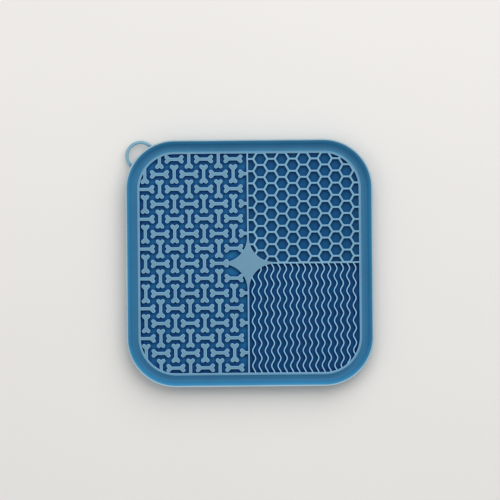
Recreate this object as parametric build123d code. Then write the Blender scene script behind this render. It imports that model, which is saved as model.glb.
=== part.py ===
from build123d import *

import math
import os

# A square lick mat of soft silicone, lying face up on its suction cups.
# X runs across the face, Y up the face and Z out of it. All lengths are in millimetres.

# Outline and heights
MAT_SIDE = 200.0
CORNER_RADIUS = 40.0
CUP_HEIGHT = 4.0
SHEET_THICKNESS = 2.0
PATTERN_HEIGHT = 4.0
RIM_HEIGHT = 9.0
SHEET_EDGE_ROUND = 0.8

# Rim, gutter and ledge, measured inwards from the outer edge
LIP_WIDTH = 1.3
WALL_RUN = 2.6
WALL_FOOT_RISE = 1.2
GUTTER_REACH = 6.4
GUTTER_DROP = 2.0
LEDGE_WIDTH = 1.8
FIELD_MARGIN = 11.3

# Dividers and centre star
DIVIDER_SHIFT = 1.2
DIVIDER_WIDTH = 1.4
STAR_RADIUS = 20.5
STAR_BONE_COLUMN = 2

# Bones in the left half
BONE_LENGTH = 15.6
BONE_WIDTH = 7.1
BONE_SHAFT_WIDTH = 2.65
KNOB_RADIUS = 1.7
BONE_PITCH_X = 11.92
BONE_PITCH_Y = 12.07
BONE_START_X = 0.4

# Hexagon comb in the upper right quarter
HEX_OPENING = 8.3
HEX_PITCH_X = 8.69
HEX_PITCH_Y = 9.87
HEX_START_X = 1.86
HEX_START_Y = 0.32

# Wave ribs in the lower right quarter
RIB_COUNT = 17
RIB_WIDTH = 1.0
RIB_PITCH = 5.11
RIB_START = 4.2
WAVE_PERIOD = 12.05
WAVE_SWING = 1.7
WAVE_BEND_RADIUS = 3.2
WAVE_FIRST_CREST = 16.9
BEND_ROOM_SHARE = 0.9

# Hanging loop on the upper left corner
LOOP_RADIUS = 12.4
LOOP_BAND = 2.7
LOOP_THICKNESS = 2.4
LOOP_CLEARANCE = 0.15

# Suction cups on the back
CUP_COUNT = 4
CUP_PITCH = 45.0
CUP_RADIUS = 13.0
CUP_NECK_RADIUS = 5.0
CUP_NECK_HEIGHT = 1.0
CUP_SHOULDER_DROP = 0.6
CUP_LIP_WIDTH = 0.8
CUP_LIP_HEIGHT = 0.6
CUP_HOLLOW_HEIGHT = 1.8

# A clipped piece smaller than this share of a whole one is left out
CRUMB_SHARE = 0.03

# Places worked out from the sizes above
HALF_SIDE = MAT_SIDE / 2
SHEET_TOP = CUP_HEIGHT + SHEET_THICKNESS
FIELD_HALF = HALF_SIDE - FIELD_MARGIN
GUTTER_LEVEL = PATTERN_HEIGHT - GUTTER_DROP
WALL_FOOT_REACH = LIP_WIDTH + WALL_RUN
WALL_FOOT_LEVEL = GUTTER_LEVEL + WALL_FOOT_RISE
CENTRE_X = -DIVIDER_SHIFT
HALF_DIVIDER = DIVIDER_WIDTH / 2
STAR_HALF = STAR_RADIUS + HALF_DIVIDER
KNOB_X = BONE_LENGTH / 2 - KNOB_RADIUS
KNOB_Y = BONE_WIDTH / 2 - KNOB_RADIUS
KNOB_DIAGONAL = KNOB_RADIUS * math.sin(math.radians(45))
NOTCH_X = KNOB_X - KNOB_Y + 2 * KNOB_DIAGONAL
STAR_REACH = STAR_BONE_COLUMN * BONE_PITCH_X - BONE_START_X - NOTCH_X


def rounded_square(inset):
    """The mat's outline moved inwards by inset."""
    side = MAT_SIDE - 2 * inset
    return RectangleRounded(side, side, CORNER_RADIUS - inset)


def span(x_low, x_high, y_low, y_high):
    """A rectangle between two corners."""
    middle = Pos((x_low + x_high) / 2, (y_low + y_high) / 2)
    return middle * Rectangle(x_high - x_low, y_high - y_low)


def on_sheet(face, height):
    """A flat face raised from the top of the sheet."""
    return Pos(0, 0, SHEET_TOP) * extrude(face, amount=height)


def swept_ring(section_lines):
    """A closed section, drawn inwards and upwards from the outer edge, carried round the outline."""
    path = rounded_square(0).wire()
    start = path @ 0
    heading = path % 0
    inwards = Vector(0, 0, 1).cross(heading)
    plane = Plane(origin=start + Vector(0, 0, SHEET_TOP), x_dir=inwards, z_dir=heading)
    section = plane * make_face(section_lines)
    return sweep(section, path=Pos(0, 0, SHEET_TOP) * path)


def base_sheet():
    sheet = Pos(0, 0, CUP_HEIGHT) * extrude(rounded_square(0), amount=SHEET_THICKNESS)
    lower_edge = sheet.faces().sort_by(Axis.Z)[0].edges()
    return fillet(lower_edge, min(SHEET_EDGE_ROUND, SHEET_THICKNESS / 2))


def outer_rim():
    """The rim from its outer side over the round lip to the foot of its steep inner wall."""
    lip_shoulder = RIM_HEIGHT - LIP_WIDTH / 2
    wall_foot = (WALL_FOOT_REACH, WALL_FOOT_LEVEL)
    lip_ends = (0, lip_shoulder), (LIP_WIDTH / 2, RIM_HEIGHT), (LIP_WIDTH, lip_shoulder)
    lines = Curve() + [
        Line((0, 0), lip_ends[0]),
        ThreePointArc(*lip_ends),
        Line(lip_ends[2], wall_foot),
        Line(wall_foot, (WALL_FOOT_REACH, 0)),
        Line((WALL_FOOT_REACH, 0), (0, 0)),
    ]
    return swept_ring(lines)


def gutter():
    """The outer half of the gutter, falling from the rim's wall to the gutter's lowest line."""
    wall_foot = (WALL_FOOT_REACH, WALL_FOOT_LEVEL)
    lowest = (GUTTER_REACH, GUTTER_LEVEL)
    lines = Curve() + [
        TangentArc(lowest, wall_foot, tangent=(-1, 0)),
        Line(wall_foot, (WALL_FOOT_REACH, 0)),
        Line((WALL_FOOT_REACH, 0), (GUTTER_REACH, 0)),
        Line((GUTTER_REACH, 0), lowest),
    ]
    return swept_ring(lines)


def inner_border():
    """The inner half of the gutter and the flat ledge round the pattern field."""
    lowest = (GUTTER_REACH, GUTTER_LEVEL)
    ledge_outside = (FIELD_MARGIN - LEDGE_WIDTH, PATTERN_HEIGHT)
    ledge_inside = (FIELD_MARGIN, PATTERN_HEIGHT)
    lines = Curve() + [
        TangentArc(lowest, ledge_outside, tangent=(1, 0)),
        Line(ledge_outside, ledge_inside),
        Line(ledge_inside, (FIELD_MARGIN, 0)),
        Line((FIELD_MARGIN, 0), (GUTTER_REACH, 0)),
        Line((GUTTER_REACH, 0), lowest),
    ]
    return swept_ring(lines)


def star_face():
    """A four-pointed star between four round corners, with its left tip ending in a bone's notch."""
    corners = [
        Pos(side_x * STAR_HALF, side_y * STAR_HALF) * Circle(STAR_RADIUS)
        for side_x in (-1, 1)
        for side_y in (-1, 1)
    ]
    star = Rectangle(2 * STAR_HALF, 2 * STAR_HALF) - corners
    star = star + span(-STAR_REACH, 0, -HALF_DIVIDER, HALF_DIVIDER)
    star = star & span(-STAR_REACH, STAR_HALF, -STAR_HALF, STAR_HALF)
    return Pos(CENTRE_X, 0) * star


def zone(x_low, x_high, y_low, y_high, star):
    """The part of the field between two corners that the star leaves free."""
    return (rounded_square(FIELD_MARGIN) & span(x_low, x_high, y_low, y_high)) - star


def in_field(x, y):
    """Whether a place lies inside the field's edge."""
    arc_centre = HALF_SIDE - CORNER_RADIUS
    past_arc = math.hypot(max(abs(x) - arc_centre, 0), max(abs(y) - arc_centre, 0))
    return past_arc < CORNER_RADIUS - FIELD_MARGIN


def needs_clipping(outline):
    """Whether an outline may reach a divider, the star or the field's edge."""
    box = outline.bounding_box()
    reach_x = max(abs(box.min.X), abs(box.max.X))
    reach_y = max(abs(box.min.Y), abs(box.max.Y))
    near_edge = not in_field(reach_x, reach_y)
    on_upright = box.min.X < CENTRE_X + STAR_HALF and box.max.X > CENTRE_X - STAR_HALF
    on_level = box.min.Y < STAR_HALF and box.max.Y > -STAR_HALF
    return near_edge or on_upright or on_level


def dividers():
    left = CENTRE_X - HALF_DIVIDER
    right = CENTRE_X + HALF_DIVIDER
    return {
        "divider_top": on_sheet(span(left, right, STAR_HALF, FIELD_HALF), PATTERN_HEIGHT),
        "divider_bottom": on_sheet(span(left, right, -FIELD_HALF, -STAR_HALF), PATTERN_HEIGHT),
        "divider_right": on_sheet(
            span(CENTRE_X + STAR_HALF, FIELD_HALF, -HALF_DIVIDER, HALF_DIVIDER), PATTERN_HEIGHT
        ),
    }


def clipped_blocks(outlines, region):
    """Outlines cut to a region and raised to the pattern's height, without their crumbs."""
    blocks = []
    for outline in outlines:
        least_area = CRUMB_SHARE * outline.area
        kept = outline & region if needs_clipping(outline) else outline
        faces = kept.faces() if kept else []
        blocks += [on_sheet(face, PATTERN_HEIGHT) for face in faces if face.area > least_area]
    return blocks


def bone_end(with_knobs):
    """Half a bone along X: a shaft that flares at 45 degrees into two round knobs, or a plain shaft."""
    half_shaft = BONE_SHAFT_WIDTH / 2
    if not with_knobs:
        corner = (BONE_LENGTH / 2, half_shaft)
        plain = Curve() + [Line((0, half_shaft), corner), Line(corner, (BONE_LENGTH / 2, 0))]
        return plain + mirror(plain, Plane.XZ)
    flare_foot = (NOTCH_X - 4 * KNOB_DIAGONAL + half_shaft, half_shaft)
    flare_top = (KNOB_X - KNOB_DIAGONAL, KNOB_Y + KNOB_DIAGONAL)
    knob_tip = (KNOB_X + KNOB_DIAGONAL, KNOB_Y + KNOB_DIAGONAL)
    notch_side = (KNOB_X + KNOB_DIAGONAL, KNOB_Y - KNOB_DIAGONAL)
    quarter = Curve() + [
        Line((0, half_shaft), flare_foot),
        Line(flare_foot, flare_top),
        ThreePointArc(flare_top, knob_tip, notch_side),
        Line(notch_side, (NOTCH_X, 0)),
    ]
    return quarter + mirror(quarter, Plane.XZ)


def bone(x, y, turn):
    """A bone round a place, with a plain shaft at an end whose knobs would lie past the field's edge."""
    reach_x = KNOB_X * math.cos(math.radians(turn))
    reach_y = KNOB_X * math.sin(math.radians(turn))
    first_knobs = in_field(x - reach_x, y - reach_y)
    last_knobs = in_field(x + reach_x, y + reach_y)
    if not first_knobs and not last_knobs:
        return []
    outline = make_face(mirror(bone_end(first_knobs), Plane.YZ) + bone_end(last_knobs))
    return [Pos(x, y) * Rot(0, 0, turn) * outline]


def bones(star):
    """Bones lying and standing in turn, like the squares of a chessboard."""
    across = []
    upright = []
    columns = math.floor(FIELD_HALF / BONE_PITCH_X)
    rows = math.floor(FIELD_HALF / BONE_PITCH_Y)
    for column in range(columns + 1):
        for row in range(-rows, rows + 1):
            in_star = row == 0 and column < STAR_BONE_COLUMN
            x = CENTRE_X + BONE_START_X - column * BONE_PITCH_X
            y = row * BONE_PITCH_Y
            if (column + row) % 2 == 0 and not in_star:
                across += bone(x, y, 0)
            elif column > 0 and not in_star:
                upright += bone(x, y, 90)
    left_half = zone(-HALF_SIDE, CENTRE_X - HALF_DIVIDER, -HALF_SIDE, HALF_SIDE, star)
    return {
        "bones_across": Compound(clipped_blocks(across, left_half)),
        "bones_upright": Compound(clipped_blocks(upright, left_half)),
    }


def hex_centre(column, row):
    """The middle of a comb cell, where every other column stands half a row higher."""
    shift = (column % 2) / 2
    return Vector(
        CENTRE_X + HEX_START_X + column * HEX_PITCH_X, HEX_START_Y + (row + shift) * HEX_PITCH_Y
    )


def hex_corner(centre, turn):
    """A corner of a comb cell, counted in sixths of a turn from the right."""
    reach = HEX_OPENING / 2 / math.cos(math.radians(30))
    angle = math.radians(60 * turn)
    return centre + Vector(reach * math.cos(angle), reach * math.sin(angle))


def hex_wall(column, row, side):
    """The straight wall on one side of a cell: 0 upper right, 1 top, 5 lower right."""
    step_up = column % 2
    ring = [
        hex_centre(column + 1, row + step_up),
        hex_centre(column, row + 1),
        hex_centre(column - 1, row + step_up),
        hex_centre(column - 1, row + step_up - 1),
        hex_centre(column, row - 1),
        hex_centre(column + 1, row + step_up - 1),
    ]
    cell = hex_centre(column, row)
    across = ring[side]
    first_joint = (cell + across + ring[side - 1]) / 3
    last_joint = (cell + across + ring[(side + 1) % 6]) / 3
    corners = [
        first_joint,
        hex_corner(across, side - 2),
        hex_corner(across, side - 3),
        last_joint,
        hex_corner(cell, side + 1),
        hex_corner(cell, side),
    ]
    return make_face(Polyline(*corners, close=True))


def hex_comb(star):
    """One straight wall between every two neighbouring cells, mitred where three walls meet."""
    quarter = zone(CENTRE_X + HALF_DIVIDER, HALF_SIDE, HALF_DIVIDER, HALF_SIDE, star)
    columns = math.ceil(FIELD_HALF / HEX_PITCH_X) + 1
    rows = math.ceil(FIELD_HALF / HEX_PITCH_Y) + 1
    walls = [
        hex_wall(column, row, side)
        for column in range(-1, columns + 1)
        for row in range(-1, rows + 1)
        for side in (0, 1, 5)
    ]
    return Compound(clipped_blocks(walls, quarter))


def rib_face():
    """A wavy rib standing along Y on the middle line X = 0, longer than its zone at both ends."""
    half_period = WAVE_PERIOD / 2
    lean = math.atan(2 * WAVE_SWING / half_period)
    side_shift = RIB_WIDTH / 2 / math.cos(lean)
    flank_room = BEND_ROOM_SHARE * half_period / 2 / math.sin(lean)
    bend = min(WAVE_BEND_RADIUS, flank_room - RIB_WIDTH / 2)
    crests = math.ceil(FIELD_HALF / half_period) + 2
    first = -math.ceil(WAVE_FIRST_CREST / half_period) - 1
    sides = {}
    for side in (-1, 1):
        points = []
        radii = []
        for number in range(first, crests):
            swing = 1 if number % 2 == 0 else -1
            height = -WAVE_FIRST_CREST - number * half_period
            points.append((swing * WAVE_SWING + side * side_shift, height))
            radii.append(bend + side * swing * RIB_WIDTH / 2)
        sides[side] = FilletPolyline(*points, radius=radii[1:-1])
    ends = [Line(sides[-1] @ end, sides[1] @ end) for end in (0, 1)]
    return make_face(Curve() + [sides[-1], sides[1]] + ends)


def wave_ribs(star):
    """Ribs side by side, all waving in step."""
    quarter = zone(CENTRE_X + HALF_DIVIDER, HALF_SIDE, -HALF_SIDE, -HALF_DIVIDER, star)
    whole = rib_face()
    ribs = {}
    for number in range(RIB_COUNT):
        outline = Pos(CENTRE_X + RIB_START + number * RIB_PITCH, 0) * whole
        ribs[f"wave_rib_{number + 1:02d}"] = Compound(clipped_blocks([outline], quarter))
    return ribs


def hang_loop():
    """A flat half ring whose two round ends turn on one line beside the corner's outer wall."""
    inner_radius = LOOP_RADIUS - LOOP_BAND
    half_thickness = LOOP_THICKNESS / 2
    wall_reach = math.sqrt(CORNER_RADIUS**2 - inner_radius**2)
    wall_cosine = wall_reach / CORNER_RADIUS
    hinge_reach = wall_reach + (half_thickness + LOOP_CLEARANCE) / wall_cosine
    ring_reach = (CORNER_RADIUS - LOOP_RADIUS) * math.sqrt(2)
    ring_drop = hinge_reach - ring_reach
    ring = Pos(0, -ring_drop) * (Circle(LOOP_RADIUS) - Circle(inner_radius))
    arch = ring & span(-LOOP_RADIUS, LOOP_RADIUS, 0, LOOP_RADIUS)
    loop = Pos(0, 0, -half_thickness) * extrude(arch, amount=LOOP_THICKNESS)
    foot_inside = math.sqrt(inner_radius**2 - ring_drop**2)
    foot_outside = math.sqrt(LOOP_RADIUS**2 - ring_drop**2)
    foot_middle = (foot_inside + foot_outside) / 2
    knuckle = Rot(0, 90, 0) * Cylinder(half_thickness, foot_outside - foot_inside)
    loop = loop + [Pos(side * foot_middle, 0, 0) * knuckle for side in (-1, 1)]
    arc_centre = HALF_SIDE - CORNER_RADIUS
    corner = Pos(-arc_centre, arc_centre, CUP_HEIGHT + half_thickness) * Rot(0, 0, 45)
    return corner * Pos(0, hinge_reach, 0) * loop


def suction_cup():
    """A shallow bell on a short neck, standing on its lip at the origin."""
    neck_foot = CUP_HEIGHT - CUP_NECK_HEIGHT
    shoulder = (CUP_NECK_RADIUS, neck_foot)
    middle_radius = (CUP_NECK_RADIUS + CUP_RADIUS) / 2
    middle_height = (neck_foot + CUP_LIP_HEIGHT) / 2 - CUP_SHOULDER_DROP / 2
    lip_inside = CUP_RADIUS - CUP_LIP_WIDTH
    section = Curve() + [
        Line((0, CUP_HOLLOW_HEIGHT), (0, CUP_HEIGHT)),
        Line((0, CUP_HEIGHT), (CUP_NECK_RADIUS, CUP_HEIGHT)),
        Line((CUP_NECK_RADIUS, CUP_HEIGHT), shoulder),
        ThreePointArc(shoulder, (middle_radius, middle_height), (CUP_RADIUS, CUP_LIP_HEIGHT)),
        Line((CUP_RADIUS, CUP_LIP_HEIGHT), (CUP_RADIUS, 0)),
        Line((CUP_RADIUS, 0), (lip_inside, 0)),
        TangentArc((0, CUP_HOLLOW_HEIGHT), (lip_inside, 0), tangent=(1, 0)),
    ]
    return revolve(Plane.XZ * make_face(section), axis=Axis.Z)


def suction_cups():
    """A square grid of cups, counted across and then down the back."""
    cup = suction_cup()
    middle = (CUP_COUNT - 1) / 2
    cups = {}
    for row in range(CUP_COUNT):
        for column in range(CUP_COUNT):
            place = Pos((column - middle) * CUP_PITCH, (middle - row) * CUP_PITCH)
            cups[f"suction_cup_{row + 1}{column + 1}"] = place * cup
    return cups


def all_nodes():
    """Every node of the mat by name."""
    star = star_face()
    nodes = {
        "base_sheet": base_sheet(),
        "outer_rim": outer_rim(),
        "gutter": gutter(),
        "inner_border": inner_border(),
        "centre_star": on_sheet(star, PATTERN_HEIGHT),
    }
    nodes.update(dividers())
    nodes.update(bones(star))
    nodes["hex_comb"] = hex_comb(star)
    nodes.update(wave_ribs(star))
    nodes["hang_loop"] = hang_loop()
    nodes.update(suction_cups())
    return nodes


def main():
    os.makedirs("parts", exist_ok=True)
    for name, shape in all_nodes().items():
        export_step(shape, f"parts/{name}.step")


main()
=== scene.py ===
"""Dresses the lick mat: a soft silicone moulding with three licking patterns and suction cups."""

from __future__ import annotations

import logging
import math
from dataclasses import dataclass, replace
from enum import Enum

import bmesh
import bpy
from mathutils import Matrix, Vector


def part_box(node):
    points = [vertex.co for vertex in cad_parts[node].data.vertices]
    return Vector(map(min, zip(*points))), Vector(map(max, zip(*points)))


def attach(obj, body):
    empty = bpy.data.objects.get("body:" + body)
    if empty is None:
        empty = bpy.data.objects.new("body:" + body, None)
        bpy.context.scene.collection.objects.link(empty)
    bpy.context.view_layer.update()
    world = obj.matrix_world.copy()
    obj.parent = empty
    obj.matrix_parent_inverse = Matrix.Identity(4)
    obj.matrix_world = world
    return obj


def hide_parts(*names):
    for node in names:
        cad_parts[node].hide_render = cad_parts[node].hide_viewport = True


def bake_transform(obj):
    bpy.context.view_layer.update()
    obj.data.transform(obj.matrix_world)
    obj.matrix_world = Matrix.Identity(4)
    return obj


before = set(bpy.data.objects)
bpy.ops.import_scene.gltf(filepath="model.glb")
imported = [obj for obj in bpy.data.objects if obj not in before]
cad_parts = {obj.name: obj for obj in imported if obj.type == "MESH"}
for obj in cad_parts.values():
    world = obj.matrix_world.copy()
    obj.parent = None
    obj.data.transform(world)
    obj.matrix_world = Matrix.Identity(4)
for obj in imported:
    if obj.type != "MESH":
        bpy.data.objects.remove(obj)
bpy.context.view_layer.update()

LOG = logging.getLogger("lick_mat")

Point = tuple[float, float]
Corner = tuple[float, float, float]
Colour = tuple[float, float, float]
Socket = bpy.types.NodeSocket

MAT_BODY = "mat"
LOOP_BODY = "hang_loop"
SECTION_LENGTH = "section_length"
SHARP_ANGLE = math.radians(42)
HALF_STEP = 0.5
RAMP_MIDDLE = 0.5
HEXAGON_SIDES = 6
HEXAGON_TURN = 360.0 / HEXAGON_SIDES


def arc(centre: Point, radius: float, start: float, end: float, steps: int) -> list[Point]:
    """Points along an arc, both ends included.

    Args:
        centre: The arc's centre.
        radius: The arc's radius.
        start: The first point's angle in degrees.
        end: The last point's angle in degrees.
        steps: The number of straight pieces.

    Returns:
        The points in order.
    """
    points = []
    for step in range(steps + 1):
        angle = math.radians(start + (end - start) * step / steps)
        points.append((centre[0] + radius * math.cos(angle), centre[1] + radius * math.sin(angle)))
    return points


def rounded_path(corners: list[Corner], steps: int) -> list[Point]:
    """A line through corners, each rounded by its own radius.

    Args:
        corners: Places with the radius that rounds each; the two ends stay as they are.
        steps: The number of straight pieces in each rounding.

    Returns:
        The points in order.
    """
    path: list[Point] = []
    last = len(corners) - 1
    for index, (x, y, radius) in enumerate(corners):
        if radius == 0 or index in (0, last):
            path.append((x, y))
            continue
        here = Vector((x, y))
        back = (Vector(corners[index - 1][:2]) - here).normalized()
        ahead = (Vector(corners[index + 1][:2]) - here).normalized()
        half = back.angle(ahead) / 2
        centre = here + (back + ahead).normalized() * radius / math.sin(half)
        first = here + back * radius / math.tan(half) - centre
        final = here + ahead * radius / math.tan(half) - centre
        start = math.degrees(math.atan2(first.y, first.x))
        turn = (math.degrees(math.atan2(final.y, final.x)) - start + 180) % 360 - 180
        path += arc((centre.x, centre.y), radius, start, start + turn, steps)
    return path


def curve_between(first: Point, middle: Point, last: Point, steps: int) -> list[Point]:
    """Points along a parabola through three places, without its ends.

    Args:
        first: Its first place.
        middle: The place half way.
        last: Its last place.
        steps: The number of straight pieces.

    Returns:
        The points in order.
    """
    points = []
    for step in range(1, steps):
        share = step / steps
        parts = ((1 - share) * (1 - 2 * share), 4 * share * (1 - share), share * (2 * share - 1))
        x = sum(part * place[0] for part, place in zip(parts, (first, middle, last)))
        y = sum(part * place[1] for part, place in zip(parts, (first, middle, last)))
        points.append((x, y))
    return points


def length_to(path: list[Point], place: Point) -> float:
    """The length along a line to where it passes nearest to a place.

    Args:
        path: The line's points.
        place: The place.

    Returns:
        The length.
    """
    length = 0.0
    options = []
    for start, end in zip(path, path[1:]):
        run = Vector(end) - Vector(start)
        share = (Vector(place) - Vector(start)).dot(run) / run.length_squared
        share = min(max(share, 0.0), 1.0)
        options.append((math.dist(Vector(start) + run * share, place), length + run.length * share))
        length += run.length
    return min(options)[1]


def moved_outline(outline: list[Point], inset: float) -> list[Point]:
    """An outline with every side moved inwards by the same distance.

    Args:
        outline: Points drawn counter-clockwise.
        inset: The distance, where below zero moves the sides outwards.

    Returns:
        As many points as before.
    """
    moved = []
    for index, here in enumerate(outline):
        before = Vector(outline[index - 1])
        after = Vector(outline[(index + 1) % len(outline)])
        back = (Vector(here) - before).normalized()
        ahead = (after - Vector(here)).normalized()
        mitre = Vector((-back.y - ahead.y, back.x + ahead.x))
        shift = mitre * (2 * inset / mitre.length_squared)
        moved.append((here[0] + shift.x, here[1] + shift.y))
    return moved


def at_height(outline: list[Point], height: float) -> list[Vector]:
    """A flat outline placed at a height."""
    return [Vector((x, y, height)) for x, y in outline]


def block_loops(
    outline: list[Point], low: float, high: float, edge_round: float, steps: int, slope: float
) -> list[list[Vector]]:
    """Loops of a raised block with sloping sides and a rounded top edge.

    Args:
        outline: The block's outline below its top edge, counter-clockwise.
        low: The height of its foot.
        high: The height of its top.
        edge_round: The radius of the top edge.
        steps: The number of straight pieces in the rounding.
        slope: How far the sides spread at the foot.

    Returns:
        The loops from the foot to the top.
    """
    loops = [at_height(moved_outline(outline, -slope), low)]
    for step in range(steps + 1):
        angle = math.pi / 2 * step / steps
        inset = edge_round * (1 - math.cos(angle))
        loops.append(at_height(moved_outline(outline, inset), high - edge_round * (1 - math.sin(angle))))
    return loops


def shell_mesh(name: str, loops: list[list[Vector]]) -> bpy.types.Mesh:
    """A mesh whose faces join loops of equally many points, closed at both ends.

    Args:
        name: The mesh's name.
        loops: The loops in order.

    Returns:
        The mesh, with its faces pointing outwards.
    """
    shell = bmesh.new()
    rings = [[shell.verts.new(point) for point in loop] for loop in loops]
    for near, far in zip(rings, rings[1:]):
        for index, corner in enumerate(near):
            beside = (index + 1) % len(near)
            shell.faces.new((corner, near[beside], far[beside], far[index]))
    shell.faces.new(list(reversed(rings[0])))
    shell.faces.new(rings[-1])
    bmesh.ops.recalc_face_normals(shell, faces=shell.faces[:])
    mesh = bpy.data.meshes.new(name)
    shell.to_mesh(mesh)
    shell.free()
    return mesh


def joined_mesh(name: str, parts: list[bpy.types.Mesh]) -> bpy.types.Mesh:
    """One mesh from several.

    Args:
        name: The mesh's name.
        parts: The meshes, which are removed.

    Returns:
        The mesh.
    """
    whole = bmesh.new()
    for part in parts:
        whole.from_mesh(part)
        bpy.data.meshes.remove(part)
    mesh = bpy.data.meshes.new(name)
    whole.to_mesh(mesh)
    whole.free()
    return mesh


def close_and_turn(mesh: bpy.types.Mesh) -> None:
    """Closes a mesh's open loops and turns its faces outwards.

    Args:
        mesh: The mesh, which is changed.
    """
    shell = bmesh.new()
    shell.from_mesh(mesh)
    open_edges = [edge for edge in shell.edges if edge.is_boundary]
    bmesh.ops.holes_fill(shell, edges=open_edges, sides=0)
    bmesh.ops.recalc_face_normals(shell, faces=shell.faces[:])
    shell.to_mesh(mesh)
    shell.free()


def link_object(name: str, data: bpy.types.ID) -> bpy.types.Object:
    """An object at the origin, in the scene.

    Args:
        name: The object's name.
        data: Its mesh, curve, lamp or camera.

    Returns:
        The object.
    """
    made = bpy.data.objects.new(name, data)
    bpy.context.scene.collection.objects.link(made)
    return made


def section_curve(name: str, points: list[Point], closed: bool) -> bpy.types.Object:
    """A helper curve that carries a section for a sweep.

    Args:
        name: The helper's name.
        points: The section, outwards from the path and upwards.
        closed: Whether the section's ends meet.

    Returns:
        The helper object.
    """
    curve = bpy.data.curves.new(name, "CURVE")
    curve.dimensions = "3D"
    spline = curve.splines.new("POLY")
    spline.points.add(len(points) - 1)
    for point, (outwards, upwards) in zip(spline.points, points):
        point.co = (outwards, -upwards, 0, 1)
    spline.use_cyclic_u = closed
    return link_object(name, curve)


class Blending(Enum):
    """How a finished mesh is shaded."""

    ROUND = "round"
    FLAT_TOPPED = "flat topped"


def piece_object(name: str, mesh: bpy.types.Mesh, blending: Blending) -> bpy.types.Object:
    """A finished piece with smooth roundings and crisp creases.

    Args:
        name: The piece's name.
        mesh: Its mesh, with its material.
        blending: Whether large flat faces keep their own normals.

    Returns:
        The piece's object.
    """
    mesh.name = name
    mesh.polygons.foreach_set("use_smooth", [True] * len(mesh.polygons))
    mesh.set_sharp_from_angle(angle=SHARP_ANGLE)
    piece = link_object(name, mesh)
    if blending is Blending.FLAT_TOPPED:
        weighted = piece.modifiers.new("flat_faces", "WEIGHTED_NORMAL")
        weighted.keep_sharp = True
    LOG.info("%s: %d faces", name, len(mesh.polygons))
    return piece


class NodeTree:
    """Nodes that are added and filled in by the names of their sockets."""

    def __init__(self, group: bpy.types.NodeTree) -> None:
        """Keeps the tree that the nodes go into."""
        self.group = group

    def fill(self, node: bpy.types.Node, inputs: dict) -> bpy.types.Node:
        """Sets or links a node's inputs.

        Args:
            node: The node.
            inputs: Sockets by name or number, with a value, a socket or a list of sockets for each.

        Returns:
            The same node.
        """
        for key, value in inputs.items():
            for item in value if isinstance(value, list) else [value]:
                if isinstance(item, Socket):
                    self.group.links.new(item, node.inputs[key])
                else:
                    node.inputs[key].default_value = item
        return node

    def node(self, kind: str, inputs: dict, **settings: str) -> bpy.types.Node:
        """Adds a node.

        Args:
            kind: The node's type.
            inputs: Its inputs, as fill takes them.
            settings: The node's own options.

        Returns:
            The node.
        """
        made = self.group.nodes.new(kind)
        for option, choice in settings.items():
            setattr(made, option, choice)
        return self.fill(made, inputs)


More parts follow.
